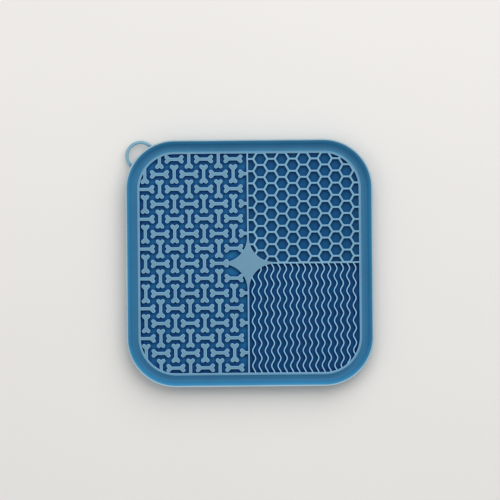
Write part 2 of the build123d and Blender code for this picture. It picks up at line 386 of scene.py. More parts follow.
class PieceTree(NodeTree):
    """A geometry tree with named inputs that makes one kind of piece."""

    def __init__(self, name: str) -> None:
        """Starts an empty tree with one mesh output.

        Args:
            name: The tree's name.
        """
        super().__init__(bpy.data.node_groups.new(name, "GeometryNodeTree"))
        self.group.is_modifier = True
        self.group.interface.new_socket("Mesh", in_out="OUTPUT", socket_type="NodeSocketGeometry")
        self.entry = self.group.nodes.new("NodeGroupInput")
        self.exit = self.group.nodes.new("NodeGroupOutput")

    def size(self, name: str, kind: str = "Float") -> Socket:
        """A named input of the tree, a float unless another kind is given."""
        self.group.interface.new_socket(name, in_out="INPUT", socket_type="NodeSocket" + kind)
        return self.entry.outputs[name]

    def sum(self, operation: str, *values: float | Socket) -> Socket:
        """The result of one step of arithmetic."""
        return self.node("ShaderNodeMath", dict(enumerate(values)), operation=operation).outputs[0]

    def place(self, *values: float | Socket) -> Socket:
        """A vector from its X, Y and Z."""
        return self.node("ShaderNodeCombineXYZ", dict(enumerate(values))).outputs[0]

    def index(self) -> Socket:
        """The number of each point."""
        return self.node("GeometryNodeInputIndex", {}).outputs[0]

    def column_and_row(self, in_column: Socket) -> tuple[Socket, Socket]:
        """The column of each point and its number in that column.

        Args:
            in_column: How many points a column has.

        Returns:
            The column and the number, both from zero.
        """
        index = self.index()
        column = self.sum("FLOOR", self.sum("DIVIDE", self.sum("ADD", index, HALF_STEP), in_column))
        return column, self.sum("SUBTRACT", index, self.sum("MULTIPLY", column, in_column))

    def points(self, count: Socket, x: Socket, y: float | Socket) -> Socket:
        """Loose points whose places follow their numbers."""
        inputs = {"Count": count, "Position": self.place(x, y, 0.0)}
        return self.node("GeometryNodePoints", inputs).outputs[0]

    def repeated(self, points: Socket, inputs: dict) -> Socket:
        """Instances on points."""
        return self.node("GeometryNodeInstanceOnPoints", {"Points": points, **inputs}).outputs[0]

    def joined(self, parts: list[Socket]) -> Socket:
        """Several geometries as one."""
        return self.node("GeometryNodeJoinGeometry", {"Geometry": parts}).outputs[0]

    def real(self, geometry: Socket) -> Socket:
        """Instances turned into real faces."""
        return self.node("GeometryNodeRealizeInstances", {"Geometry": geometry}).outputs[0]

    def carved(self, operation: str, inputs: dict) -> Socket:
        """The mesh that a boolean leaves."""
        options = {"operation": operation, "solver": "MANIFOLD"}
        return self.node("GeometryNodeMeshBoolean", inputs, **options).outputs["Mesh"]

    def within(self, instances: Socket, block: str) -> Socket:
        """Instances cut to a helper block that is a named input."""
        return self.carved("INTERSECT", {"Mesh 2": [self.real(instances), self.shape(block)]})

    def shape(self, name: str) -> Socket:
        """The geometry of a helper object that is a named input."""
        helper = self.size(name, "Object")
        return self.node("GeometryNodeObjectInfo", {"Object": helper}).outputs["Geometry"]

    def finish(self, geometry: Socket) -> None:
        """Ends the tree with real faces in the finish's material."""
        inputs = {"Geometry": self.real(geometry), "Material": self.size("Finish", "Material")}
        self.fill(self.exit, {0: self.node("GeometryNodeSetMaterial", inputs).outputs[0]})

    def make(self, name: str, values: dict) -> bpy.types.Mesh:
        """Runs the tree once.

        Args:
            name: The mesh's name.
            values: A value for each named input.

        Returns:
            A plain mesh.
        """
        host = link_object(name + "_host", bpy.data.meshes.new(name + "_host"))
        modifier = host.modifiers.new(name, "NODES")
        modifier.node_group = self.group
        for item in self.group.interface.items_tree:
            if item.in_out == "INPUT":
                modifier[item.identifier] = values[item.name]
        graph = bpy.context.evaluated_depsgraph_get()
        mesh = bpy.data.meshes.new_from_object(host.evaluated_get(graph))
        host.modifiers.remove(modifier)
        bpy.data.objects.remove(host)
        for value in values.values():
            if isinstance(value, bpy.types.Object):
                bpy.data.objects.remove(value)
        return mesh


class ColourRun(Enum):
    """What a finish's colours follow."""

    HEIGHT = "height above the surface that the mat lies on"
    SECTION = "length along a swept section"


class MixColourSocket(Enum):
    """The places of a mixing node's colour sockets."""

    SHARE = 0
    COLOUR = 6
    TINT = 7
    RESULT = 2


@dataclass(frozen=True)
class ColourStop:
    """A colour at a height or length in metres."""

    at: float
    colour: Colour


@dataclass(frozen=True)
class SiliconeFinish:
    """Matte moulded silicone, with painted shade low down and painted highlights on its top edges."""

    name: str
    stops: tuple[ColourStop, ...]
    run: ColourRun = ColourRun.HEIGHT
    roughness: float = 0.46
    roughness_spread: float = 0.07
    shade_spread: float = 0.10
    cloud_size: float = 0.018
    cloud_detail: float = 3.0
    grain_size: float = 0.00035
    grain_detail: float = 2.0
    grain_depth: float = 0.00002
    grain_strength: float = 0.2
    gloss_level: float = 0.10
    # Painted shade: ambient occlusion darkens the colour by this tint in hollows and beside the feet of
    # walls.
    hollow_shade_reach: float = 0.0030
    hollow_shade_openness: float = 0.40
    hollow_shade_tint: Colour = (0.12, 0.40, 0.78)

    def material(self) -> bpy.types.Material:
        """Builds the material's nodes.

        Returns:
            The material.
        """
        material = bpy.data.materials.new(self.name)
        material.use_nodes = True
        tree = NodeTree(material.node_tree)
        place = tree.node("ShaderNodeTexCoord", {}).outputs["Object"]
        cloud = self.noise(tree, place, self.cloud_size, self.cloud_detail)
        varied = tree.node(
            "ShaderNodeHueSaturation",
            {
                "Value": self.spread(tree, cloud, 1.0, self.shade_spread),
                "Color": self.painted_hollow_shade(tree, self.run_colour(tree, self.run_place(tree, place))),
            },
        )
        grain = tree.node(
            "ShaderNodeBump",
            {
                "Strength": self.grain_strength,
                "Distance": self.grain_depth,
                "Height": self.noise(tree, place, self.grain_size, self.grain_detail),
            },
        )
        tree.fill(
            material.node_tree.nodes["Principled BSDF"],
            {
                "Specular IOR Level": self.gloss_level,
                "Base Color": varied.outputs["Color"],
                "Roughness": self.spread(tree, cloud, self.roughness, self.roughness_spread),
                "Normal": grain.outputs["Normal"],
            },
        )
        return material

    def noise(self, tree: NodeTree, place: Socket, size: float, detail: float) -> Socket:
        """Soft noise on the piece.

        Args:
            tree: The material's nodes.
            place: Object coordinates.
            size: The size of the noise's clouds.
            detail: The number of finer layers.

        Returns:
            The noise's value.
        """
        inputs = {"Vector": place, "Scale": 1 / size, "Detail": detail}
        return tree.node("ShaderNodeTexNoise", inputs).outputs["Fac"]

    def spread(self, tree: NodeTree, cloud: Socket, middle: float, spread: float) -> Socket:
        """A value that rises and falls with the clouds.

        Args:
            tree: The material's nodes.
            cloud: Soft noise.
            middle: The value half way.
            spread: How far it goes up and down.

        Returns:
            The value.
        """
        inputs = {"Value": cloud, "To Min": middle - spread, "To Max": middle + spread}
        return tree.node("ShaderNodeMapRange", inputs).outputs["Result"]

    def run_place(self, tree: NodeTree, place: Socket) -> Socket:
        """The height or length in metres that the colours follow.

        Args:
            tree: The material's nodes.
            place: Object coordinates.

        Returns:
            The height or length.
        """
        if self.run is ColourRun.SECTION:
            return tree.node("ShaderNodeAttribute", {}, attribute_name=SECTION_LENGTH).outputs["Fac"]
        return tree.node("ShaderNodeSeparateXYZ", {0: place}).outputs["Z"]

    def run_colour(self, tree: NodeTree, run_place: Socket) -> Socket:
        """Colour from the stops.

        Args:
            tree: The material's nodes.
            run_place: The height or length that the colours follow.

        Returns:
            The colour.
        """
        low, high = self.stops[0].at, self.stops[-1].at
        inputs = {"Value": run_place, "From Min": low, "From Max": high}
        share = tree.node("ShaderNodeMapRange", inputs).outputs["Result"]
        ramp = tree.node("ShaderNodeValToRGB", {"Fac": share})
        marks = ramp.color_ramp.elements
        while len(marks) < len(self.stops):
            marks.new(RAMP_MIDDLE)
        for mark, stop in zip(marks, self.stops):
            mark.position = (stop.at - low) / (high - low)
            mark.color = (*stop.colour, 1)
        return ramp.outputs["Color"]

    def painted_hollow_shade(self, tree: NodeTree, colour: Socket) -> Socket:
        """The colour darkened by painted shade, from ambient occlusion, in hollows and beside the feet of
        walls.

        Args:
            tree: The material's nodes.
            colour: The colour in the open.

        Returns:
            The colour with painted shade in its hollows.
        """
        openness = tree.node("ShaderNodeAmbientOcclusion", {"Distance": self.hollow_shade_reach}).outputs["AO"]
        inputs = {"Value": openness, "From Min": 1.0, "From Max": self.hollow_shade_openness}
        shaded_colour = tree.node(
            "ShaderNodeMix",
            {
                MixColourSocket.SHARE.value: tree.node("ShaderNodeMapRange", inputs).outputs["Result"],
                MixColourSocket.COLOUR.value: colour,
                MixColourSocket.TINT.value: (*self.hollow_shade_tint, 1),
            },
            data_type="RGBA",
            blend_type="MULTIPLY",
        )
        return shaded_colour.outputs[MixColourSocket.RESULT.value]


@dataclass(frozen=True)
class Palette:
    """The blues of the mat: one silicone, painted in lit and shaded copies."""

    # Painted highlights: the lip, the rounded edges and the thin tops of ribs and comb are paler copies of
    # the one blue.
    lip: Colour = (0.37, 0.50, 0.56)
    edge: Colour = (0.27, 0.53, 0.69)
    rib: Colour = (0.258, 0.515, 0.725)
    comb: Colour = (0.188, 0.362, 0.492)
    top: Colour = (0.145, 0.290, 0.403)
    ledge: Colour = (0.135, 0.298, 0.435)
    # Painted light and shade: the gutter's wall, foot, hollow and rise are lit and shaded copies of the
    # one blue; the pattern's sides and floors carry painted shade.
    wall: Colour = (0.047, 0.270, 0.495)
    wall_foot: Colour = (0.034, 0.190, 0.355)
    gutter: Colour = (0.041, 0.172, 0.300)
    rise: Colour = (0.069, 0.255, 0.415)
    side: Colour = (0.003, 0.110, 0.31)
    floor: Colour = (0.012, 0.152, 0.330)
    comb_floor: Colour = (0.006, 0.097, 0.248)
    # Painted shade in the comb's hollows, lighter than elsewhere.
    comb_hollow_shade: Colour = (0.70, 0.88, 0.97)
    rib_floor: Colour = (0.008, 0.108, 0.256)
    back: Colour = (0.10, 0.275, 0.42)
    # Painted light: the loop is a paler copy of the blue, as if lit through its thin band.
    loop: Colour = (0.21, 0.395, 0.49)


@dataclass(frozen=True)
class MatSizes:
    """The mat's main sizes in metres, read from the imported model."""

    half_side: float
    sheet_bottom: float
    sheet_top: float
    pattern_top: float
    lip_top: float
    gutter_reach: float
    field_half: float
    centre_x: float
    half_divider: float
    star_half: float
    star_reach: float
    corner_radius: float = 0.040
    overlap: float = 0.0009
    star_dip: float = 0.00003
    pattern_dip: float = 0.00006
    foot_depth: float = 0.0003
    wall_slope: float = 0.0002
    floor_lift: float = 0.00005

    @classmethod
    def from_frame(cls) -> MatSizes:
        """Reads the sizes from the nodes' boxes.

        Returns:
            The sizes.
        """
        sheet_low, sheet_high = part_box("base_sheet")
        top_low, top_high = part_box("divider_top")
        star_low, star_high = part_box("centre_star")
        centre_x = (top_low.x + top_high.x) / 2
        return cls(
            half_side=sheet_high.x,
            sheet_bottom=sheet_low.z,
            sheet_top=sheet_high.z,
            pattern_top=star_high.z,
            lip_top=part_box("outer_rim")[1].z,
            gutter_reach=sheet_high.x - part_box("inner_border")[1].x,
            field_half=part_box("divider_right")[1].x,
            centre_x=centre_x,
            half_divider=(top_high.x - top_low.x) / 2,
            star_half=star_high.x - centre_x,
            star_reach=centre_x - star_low.x,
        )

    @property
    def field_margin(self) -> float:
        """The distance from the outer edge to the pattern field."""
        return self.half_side - self.field_half

    @property
    def star_radius(self) -> float:
        """The radius of the star's hollow sides."""
        return self.star_half - self.half_divider

    @property
    def star_top(self) -> float:
        """The height of the star's top, a hair below the ledge's."""
        return self.pattern_top - self.star_dip

    @property
    def pattern_face(self) -> float:
        """The height of the pattern's tops, a hair below the star's."""
        return self.pattern_top - self.pattern_dip

    @property
    def pattern_foot(self) -> float:
        """The height of the pattern's feet, inside the sheet."""
        return self.sheet_top - self.foot_depth

    @property
    def floor_top(self) -> float:
        """The height of the comb's and the ribs' own thin floors."""
        return self.sheet_top + self.floor_lift


class Zone(Enum):
    """The three parts of the pattern field."""

    BONES = "left half"
    COMB = "upper right quarter"
    RIBS = "lower right quarter"


def field_corner(sizes: MatSizes, start: float, steps: int = 16) -> list[Point]:
    """One round corner of the pattern field, grown into the ledge.

    Args:
        sizes: The mat's sizes.
        start: The angle in degrees where the corner begins, a multiple of 90.
        steps: The number of straight pieces.

    Returns:
        A quarter turn of points, counter-clockwise.
    """
    radius = sizes.corner_radius - sizes.field_margin + sizes.overlap
    reach = sizes.half_side - sizes.corner_radius
    middle = math.radians(start + 45)
    centre = (math.copysign(reach, math.cos(middle)), math.copysign(reach, math.sin(middle)))
    return arc(centre, radius, start, start + 90, steps)


def zone_outline(sizes: MatSizes, zone: Zone, steps: int = 24) -> list[Point]:
    """The outline of one zone, grown a little into the walls around it.

    Args:
        sizes: The mat's sizes.
        zone: Which zone.
        steps: The number of straight pieces in each of the star's hollow sides.

    Returns:
        The points, counter-clockwise.
    """
    edge = sizes.field_half + sizes.overlap
    radius = sizes.star_radius + sizes.overlap
    inner = sizes.half_divider - sizes.overlap
    middle = sizes.centre_x
    half = sizes.star_half
    if zone is Zone.BONES:
        tip = half - sizes.star_reach + sizes.overlap
        swing = math.degrees(math.acos(tip / radius))
        lower = arc((middle - half, -half), radius, 0, swing, steps)
        upper = arc((middle - half, half), radius, -swing, 0, steps)
        corners = field_corner(sizes, 90) + field_corner(sizes, 180)
        return [(middle - inner, edge)] + corners + [(middle - inner, -edge)] + lower + upper
    side = arc((middle + half, half), radius, 180, 270, steps)
    outline = side + [(edge, inner)] + field_corner(sizes, 0) + [(middle + inner, edge)]
    if zone is Zone.COMB:
        return outline
    return [(x, -y) for x, y in reversed(outline)]


def zone_block(sizes: MatSizes, zone: Zone, top: float) -> bpy.types.Object:
    """A helper block that fills a zone from below the floor up to a height.

    Args:
        sizes: The mat's sizes.
        zone: Which zone.
        top: The block's upper end.

    Returns:
        The helper object.
    """
    outline = zone_outline(sizes, zone)
    name = zone.name.lower() + "_zone"
    loops = [at_height(outline, height) for height in (sizes.pattern_foot, top)]
    return link_object(name, shell_mesh(name, loops))


class EdgeBand(Enum):
    """Where the colours of a raised pattern change, in edge radii below its tops: painted shade on the
    sides, a painted highlight on the edges.
    """

    SIDE_LOW = 3.0
    SIDE_HIGH = 0.5
    EDGE_LOW = 0.2
    EDGE_HIGH = 0.05
    FLAT = 0.025


def pattern_finish(
    sizes: MatSizes, colours: Palette, name: str, ends: tuple[Colour, Colour], edge_round: float
) -> SiliconeFinish:
    """A finish of the raised pattern, with painted highlights on the edges round its tops and painted
    shade on its sides and floor.

    Args:
        sizes: The mat's sizes.
        colours: The mat's colours.
        name: The finish's name.
        ends: The colours of the floor, in painted shade, and of the flat tops.
        edge_round: The radius of the tops' edges.

    Returns:
        The finish.
    """
    floor, flat = ends
    shades = {
        EdgeBand.SIDE_LOW: colours.side,
        EdgeBand.SIDE_HIGH: colours.side,
        EdgeBand.EDGE_LOW: colours.edge,
        EdgeBand.EDGE_HIGH: colours.edge,
        EdgeBand.FLAT: flat,
    }
    stops = [ColourStop(sizes.floor_top, floor)]
    for band, colour in shades.items():
        stops.append(ColourStop(sizes.pattern_face - band.value * edge_round, colour))
    return SiliconeFinish(name, tuple(stops))


def bare_finish(sizes: MatSizes, name: str, colour: Colour) -> SiliconeFinish:
    """A finish of one colour.

    Args:
        sizes: The mat's sizes.
        name: The finish's name.
        colour: The colour.

    Returns:
        The finish.
    """
    return SiliconeFinish(name, (ColourStop(0.0, colour), ColourStop(sizes.lip_top, colour)))


def stand_in(piece: bpy.types.Object, nodes: list[str]) -> bpy.types.Object:
    """Lets a piece stand in for its CAD nodes, which it hides.

    Args:
        piece: The piece.
        nodes: The names of the nodes.

    Returns:
        The same piece.
    """
    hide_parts(*nodes)
    return piece


def carry(piece: bpy.types.Object, nodes: list[str]) -> bpy.types.Object:
    """Lets a piece ride on the mat in place of its CAD nodes."""
    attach(piece, MAT_BODY)
    return stand_in(piece, nodes)


def named_nodes(start: str) -> list[str]:
    """The CAD nodes whose names start alike, in order."""
    return sorted(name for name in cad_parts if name.startswith(start))


@dataclass
class Tray:
    """The sheet, the rim with its gutter and the ledge round the pattern field, as one shell."""

    sizes: MatSizes
    lip_width: float = 0.0013
    wall_run: float = 0.0026
    wall_foot_rise: float = 0.0012
    gutter_drop: float = 0.0020
    ledge_width: float = 0.0018
    lower_round: float = 0.0008
    ledge_round: float = 0.00042
    floor_round: float = 0.0004
    crown_start: float = 0.35
    crown_end: float = 0.65
    wall_start: float = 1.2
    corner_steps: int = 28
    lip_steps: int = 10
    gutter_steps: int = 8
    round_steps: int = 4

    def section(self) -> list[Corner]:
        """The section from the underside over the lip to the field's floor.

        Returns:
            Distance in from the outer edge, height and rounding of each corner.
        """
        sizes = self.sizes
        gutter = sizes.pattern_top - self.gutter_drop
        lip_radius = self.lip_width / 2
        lip = (lip_radius, sizes.lip_top - lip_radius)
        foot = (self.lip_width + self.wall_run, gutter + self.wall_foot_rise)
        run = Vector(foot) - Vector(lip)
        leave = math.degrees(math.atan2(run.y, run.x) + math.acos(lip_radius / run.length))
        ledge = sizes.field_margin - self.ledge_width
        corners = [(sizes.field_margin + self.ledge_width, sizes.sheet_bottom, 0.0)]
        corners.append((0.0, sizes.sheet_bottom, self.lower_round))
        corners += [(u, z, 0.0) for u, z in arc(lip, lip_radius, 180, leave, self.lip_steps)]
        corners += [(u, z, 0.0) for u, z in self.hollow(foot, gutter)]
        rise = list(reversed(self.hollow((ledge, sizes.pattern_top), gutter)))[1:-1]
        corners += [(u, z, 0.0) for u, z in rise]
        corners.append((ledge, sizes.pattern_top, self.ledge_round))
        corners.append((sizes.field_margin, sizes.pattern_top, self.ledge_round))
        corners.append((sizes.field_margin, sizes.sheet_top, self.floor_round))
        corners.append((sizes.field_margin + self.ledge_width, sizes.sheet_top, 0.0))
        return corners

    def hollow(self, top: Point, gutter: float) -> list[Point]:
        """One side of the gutter, an arc from its top down to the gutter's lowest line.

        Args:
            top: The arc's upper end.
            gutter: The height of the lowest line.

        Returns:
            The points from the top down.
        """
        run = self.sizes.gutter_reach - top[0]
        rise = top[1] - gutter
        radius = (run * run + rise * rise) / (2 * rise)
        swing = math.degrees(math.asin(run / radius))
        centre = (self.sizes.gutter_reach, gutter + radius)
        return arc(centre, radius, 270 - swing, 270, self.gutter_steps)

    def tree(self) -> PieceTree:
        """A tree that carries a section round a rounded square.

        Returns:
            The tree.
        """
        tree = PieceTree("rim_sweep")
        side = tree.size("Side")
        square = tree.node("GeometryNodeCurvePrimitiveQuadrilateral", {"Width": side, "Height": side})
        corners = tree.node(
            "GeometryNodeFilletCurve",
            {
                "Curve": square.outputs[0],
                "Count": tree.size("Corner steps", "Int"),
                "Radius": tree.size("Corner radius"),
            },
            mode="POLY",
        )
        length = tree.node("GeometryNodeSplineParameter", {}).outputs["Length"]
        inputs = {"Geometry": tree.shape("Section"), "Name": SECTION_LENGTH, "Value": length}
        marked = tree.node("GeometryNodeStoreNamedAttribute", inputs)
        inputs = {"Curve": corners.outputs[0], "Profile Curve": marked.outputs[0]}
        tree.finish(tree.node("GeometryNodeCurveToMesh", inputs).outputs[0])
        return tree

    def finish(self, path: list[Point], colours: Palette) -> SiliconeFinish:
        """The tray's finish, with painted highlights on the lip and the ledge and painted shade in the
        gutter and on the floor.

        Args:
            path: The section's points.
            colours: The mat's colours.

        Returns:
            The finish.
        """
        sizes = self.sizes
        gutter = sizes.pattern_top - self.gutter_drop
        ledge = sizes.field_margin - self.ledge_width
        low_ledge = sizes.pattern_top - self.ledge_round
        # Painted highlights on the lip and ledge; painted light and shade down the wall, in the gutter and
        # on the floor.
        marks = (
            (path[0], colours.back),
            ((0.0, sizes.lip_top - 2 * self.lip_width), colours.back),
            ((0.0, sizes.lip_top - self.lip_width / 2), colours.comb),
            ((self.lip_width * self.crown_start, sizes.lip_top), colours.lip),
            ((self.lip_width * self.crown_end, sizes.lip_top), colours.lip),
            ((self.lip_width, sizes.lip_top - self.lip_width / 2), colours.comb),
            ((self.lip_width * self.wall_start, sizes.lip_top - self.lip_width), colours.wall),
            ((self.lip_width + self.wall_run, gutter + self.wall_foot_rise), colours.wall_foot),
            ((sizes.gutter_reach, gutter), colours.gutter),
            ((ledge - self.ledge_round, low_ledge), colours.rise),
            ((ledge + self.ledge_round / 2, sizes.pattern_top), colours.ledge),
            ((sizes.field_margin - self.ledge_round, sizes.pattern_top), colours.ledge),
            ((sizes.field_margin - self.ledge_round / 2, sizes.pattern_top), colours.edge),
            ((sizes.field_margin, low_ledge - self.ledge_round), colours.side),
            (path[-1], colours.floor),
        )
        stops = tuple(ColourStop(length_to(path, place), colour) for place, colour in marks)
        return SiliconeFinish("tray_silicone", stops, ColourRun.SECTION)

    def build(self, colours: Palette) -> bpy.types.Object:
        """Makes the tray.

        Args:
            colours: The mat's colours.

        Returns:
            The finished piece.
        """
        path = rounded_path(self.section(), self.round_steps)
        finish = self.finish(path, colours).material()
        section = section_curve("rim_section", [(-u, z) for u, z in path], closed=False)
        mesh = self.tree().make(
            "moulded_tray",
            {
                "Side": 2 * self.sizes.half_side,
                "Corner steps": self.corner_steps,
                "Corner radius": self.sizes.corner_radius,
                "Section": section,
                "Finish": finish,
            },
        )
        close_and_turn(mesh)
        piece = piece_object("moulded_tray", mesh, Blending.FLAT_TOPPED)
        return carry(piece, ["base_sheet", "outer_rim", "gutter", "inner_border"])


@dataclass
class StarAndDividers:
    """The flat centre star and the three narrow walls that run from it to the ledge."""

    sizes: MatSizes
    edge_round: float = 0.00042
    steps: int = 32
    round_steps: int = 3

    def star_outline(self) -> list[Point]:
        """The star, with three blunt tips that the dividers go on from.

        Returns:
            The points, counter-clockwise.
        """
        sizes = self.sizes
        half = sizes.star_half
        middle = sizes.centre_x
        radius = sizes.star_radius
        swing = math.degrees(math.acos((half - sizes.star_reach) / radius))
        outline = arc((middle + half, half), radius, 270, 180, self.steps)
        outline += arc((middle - half, half), radius, 0, -swing, self.steps)
        outline += arc((middle - half, -half), radius, swing, 0, self.steps)
        return outline + arc((middle + half, -half), radius, 180, 90, self.steps)

    def divider_outlines(self) -> list[list[Point]]:
        """The dividers, each from inside the star to inside the ledge.

        Returns:
            The points of each, counter-clockwise.
        """
        sizes = self.sizes
        thin = sizes.half_divider
        middle = sizes.centre_x
        start = sizes.star_half - sizes.overlap
        edge = sizes.field_half + sizes.overlap
        right = [(middle + start, -thin), (edge, -thin), (edge, thin), (middle + start, thin)]
        upper = [(thin, start), (thin, edge), (-thin, edge), (-thin, start)]
        upper = [(middle + x, y) for x, y in upper]
        return [right, upper, [(x, -y) for x, y in reversed(upper)]]

    def block(self, name: str, outline: list[Point], top: float) -> bpy.types.Mesh:
        """A raised block with rounded top edges.

        Args:
            name: The mesh's name.
            outline: The block's outline, counter-clockwise.
            top: The height of its top.

        Returns:
            The mesh.
        """
        sizes = self.sizes
        rounding = (self.edge_round, self.round_steps)
        return shell_mesh(name, block_loops(outline, sizes.pattern_foot, top, *rounding, sizes.wall_slope))

    def build(self, star_finish: bpy.types.Material, divider_finish: bpy.types.Material) -> None:
        """Makes the star and the dividers.

        Args:
            star_finish: The star's material.
            divider_finish: The dividers' material.
        """
        star = self.block("star", self.star_outline(), self.sizes.star_top)
        star.materials.append(star_finish)
        carry(piece_object("star", star, Blending.FLAT_TOPPED), ["centre_star"])
        top = (self.sizes.star_top + self.sizes.pattern_face) / 2
        parts = [self.block("divider", outline, top) for outline in self.divider_outlines()]
        dividers = joined_mesh("dividers", parts)
        dividers.materials.append(divider_finish)
        nodes = ["divider_top", "divider_bottom", "divider_right"]
        carry(piece_object("dividers", dividers, Blending.FLAT_TOPPED), nodes)


class BoneEnd(Enum):
    """How a bone ends."""

    KNOBS = "two round knobs"
    PLAIN = "a plain shaft that runs into the field's edge"


@dataclass
class BoneField:
    """Raised bones, lying and standing in turn, over the left half."""

    sizes: MatSizes
    length: float = 0.0156
    width: float = 0.0071
    shaft_width: float = 0.00265
    knob_radius: float = 0.0017
    pitch_x: float = 0.01192
    pitch_y: float = 0.01207
    start_x: float = 0.0004
    edge_round: float = 0.0005
    knob_steps: int = 6
    round_steps: int = 2
    columns: int = 8
    rows_each_way: int = 7

    @property
    def knob_x(self) -> float:
        """The distance from a bone's middle to the middles of its knobs, along the shaft."""
        return self.length / 2 - self.knob_radius

    def end_outline(self, end: BoneEnd) -> list[Point]:
        """One end of a bone that lies along X, from the shaft's lower side round to its upper side.

        Args:
            end: Whether the end has knobs.

        Returns:
            The points, counter-clockwise.
        """
        half_shaft = self.shaft_width / 2
        if end is BoneEnd.PLAIN:
            return [(self.length / 2, -half_shaft), (self.length / 2, half_shaft)]
        knob_y = self.width / 2 - self.knob_radius
        diagonal = self.knob_radius * math.sin(math.radians(45))
        notch = self.knob_x - knob_y + 2 * diagonal
        upper = arc((self.knob_x, knob_y), self.knob_radius, -45, 135, self.knob_steps)
        upper.append((notch - 4 * diagonal + half_shaft, half_shaft))
        return [(x, -y) for x, y in reversed(upper)] + [(notch, 0.0)] + upper

    def shape(self, name: str, first: BoneEnd, last: BoneEnd) -> bpy.types.Object:
        """A helper object with one bone along X.

        Args:
            name: The helper's name.
            first: The end at the low side of X.
            last: The end at the high side of X.

        Returns:
            The helper object.
        """
        outline = self.end_outline(last) + [(-x, -y) for x, y in self.end_outline(first)]
        sizes = self.sizes
        heights = (sizes.pattern_foot - sizes.foot_depth, sizes.pattern_face)
        loops = block_loops(outline, *heights, self.edge_round, self.round_steps, sizes.wall_slope)
        return link_object(name, shell_mesh(name, loops))

    def end_in_field(
        self, tree: PieceTree, place: tuple[Socket, Socket], field: tuple[Socket, Socket]
    ) -> Socket:
        """Whether the middle of an end's knobs lies inside the field's edge.

        Args:
            tree: The tree.
            place: The X and Y of that middle.
            field: The centre and radius of the field's round corners.

        Returns:
            One where it lies inside.
        """
        centre, radius = field
        past = []
        for value in place:
            beyond = tree.sum("SUBTRACT", tree.sum("ABSOLUTE", value), centre)
            past.append(tree.sum("POWER", tree.sum("MAXIMUM", beyond, 0.0), 2.0))
        return tree.sum("LESS_THAN", tree.sum("SQRT", tree.sum("ADD", *past)), radius)

    def tree(self) -> PieceTree:
        """A tree that sets bones on a chessboard and cuts them to their zone.

        Returns:
            The tree.
        """
        tree = PieceTree("bone_chessboard")
        rows = tree.size("Rows each way")
        in_column = tree.sum("MULTIPLY_ADD", rows, 2.0, 1.0)
        column, number = tree.column_and_row(in_column)
        row = tree.sum("SUBTRACT", number, rows)
        standing = tree.sum("FLOORED_MODULO", tree.sum("ADD", column, row), 2.0)
        across = tree.sum("MULTIPLY", column, tree.size("Pitch across"))
        x = tree.sum("SUBTRACT", tree.size("Centre"), across)
        y = tree.sum("MULTIPLY", row, tree.size("Pitch up"))
        points = tree.points(tree.sum("MULTIPLY", tree.size("Columns"), in_column), x, y)
        middle_row = tree.sum("COMPARE", row, 0.0, HALF_STEP)
        in_star = tree.sum("MULTIPLY", middle_row, tree.sum("LESS_THAN", column, 1 + HALF_STEP))
        on_divider = tree.sum("MULTIPLY", standing, tree.sum("LESS_THAN", column, HALF_STEP))
        kept = tree.sum("LESS_THAN", tree.sum("ADD", in_star, on_divider), HALF_STEP)
        turned = tree.place(0.0, 0.0, tree.sum("MULTIPLY", standing, math.pi / 2))
        reach = tree.size("Knob reach")
        reach_y = tree.sum("MULTIPLY", standing, reach)
        reach_x = tree.sum("SUBTRACT", reach, reach_y)
        field = (tree.size("Corner centre"), tree.size("Corner radius"))
        ends = []
        for side in ("SUBTRACT", "ADD"):
            knobs = (tree.sum(side, x, reach_x), tree.sum(side, y, reach_y))
            ends.append(self.end_in_field(tree, knobs, field))
        both = tree.sum("MULTIPLY", *ends)
        choices = {
            "Bone": both,
            "First end": tree.sum("SUBTRACT", ends[0], both),
            "Last end": tree.sum("SUBTRACT", ends[1], both),
        }
        bones = []
        for name, chosen in choices.items():
            kept_here = tree.sum("MULTIPLY", kept, chosen)
            inputs = {"Selection": kept_here, "Instance": tree.shape(name), "Rotation": turned}
            bones.append(tree.repeated(points, inputs))
        tree.finish(tree.within(tree.joined(bones), "Zone"))
        return tree

    def build(self, finish: bpy.types.Material) -> bpy.types.Object:
        """Makes all bones.

        Args:
            finish: Their material.

        Returns:
            The finished piece.
        """
        sizes = self.sizes
        mesh = self.tree().make(
            "bone_field",
            {
                "Rows each way": float(self.rows_each_way),
                "Columns": float(self.columns),
                "Pitch across": self.pitch_x,
                "Pitch up": self.pitch_y,
                "Centre": sizes.centre_x + self.start_x,
                "Knob reach": self.knob_x,
                "Corner centre": sizes.half_side - sizes.corner_radius,
                "Corner radius": sizes.corner_radius - sizes.field_margin,
                "Bone": self.shape("bone_shape", BoneEnd.KNOBS, BoneEnd.KNOBS),
                "First end": self.shape("first_end_shape", BoneEnd.KNOBS, BoneEnd.PLAIN),
                "Last end": self.shape("last_end_shape", BoneEnd.PLAIN, BoneEnd.KNOBS),
                "Zone": zone_block(sizes, Zone.BONES, sizes.lip_top),
                "Finish": finish,
            },
        )
        piece = piece_object("bone_field", mesh, Blending.FLAT_TOPPED)
        return carry(piece, ["bones_across", "bones_upright"])


